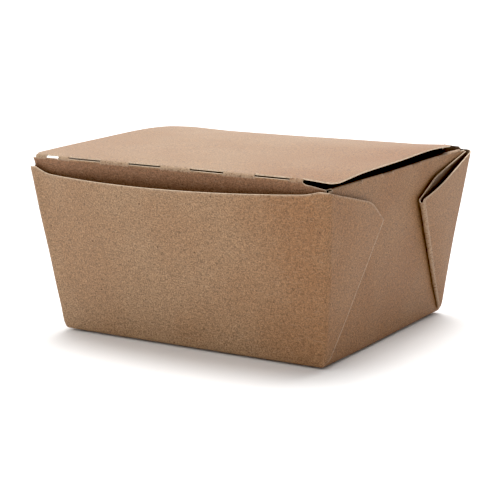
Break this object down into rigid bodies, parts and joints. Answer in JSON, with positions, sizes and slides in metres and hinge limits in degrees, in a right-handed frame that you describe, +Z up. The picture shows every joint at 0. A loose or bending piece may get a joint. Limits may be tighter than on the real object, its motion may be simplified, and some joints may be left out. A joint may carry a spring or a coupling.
{
  "type": "takeaway box",
  "caption": "Folded kraft-board takeaway food box with flared walls, folded corner webs, turned-in dust flaps and a tuck-in hinged lid.",
  "frame": {"origin": "middle of the base, on the surface that the box stands on", "axes": "+X along the length towards the right end as seen from the front, +Y towards the back wall that carries the lid, +Z up"},
  "size_m": [0.1298, 0.1132, 0.0676],
  "materials": {
    "kraft_board_tray": "matt uncoated brown kraft board",
    "kraft_board_lid": "matt uncoated brown kraft board"
  },
  "bodies": {
    "tray": {"tray": "kraft_board_tray"},
    "lid": {"lid": "kraft_board_lid"}
  },
  "joints": [
    {"name": "lid_hinge", "type": "hinge", "parent": "tray", "child": "lid", "pos_m": [0, 0.0551, 0.0627], "axis": [-1, 0, 0], "range_deg": [0, 180]}
  ]
}
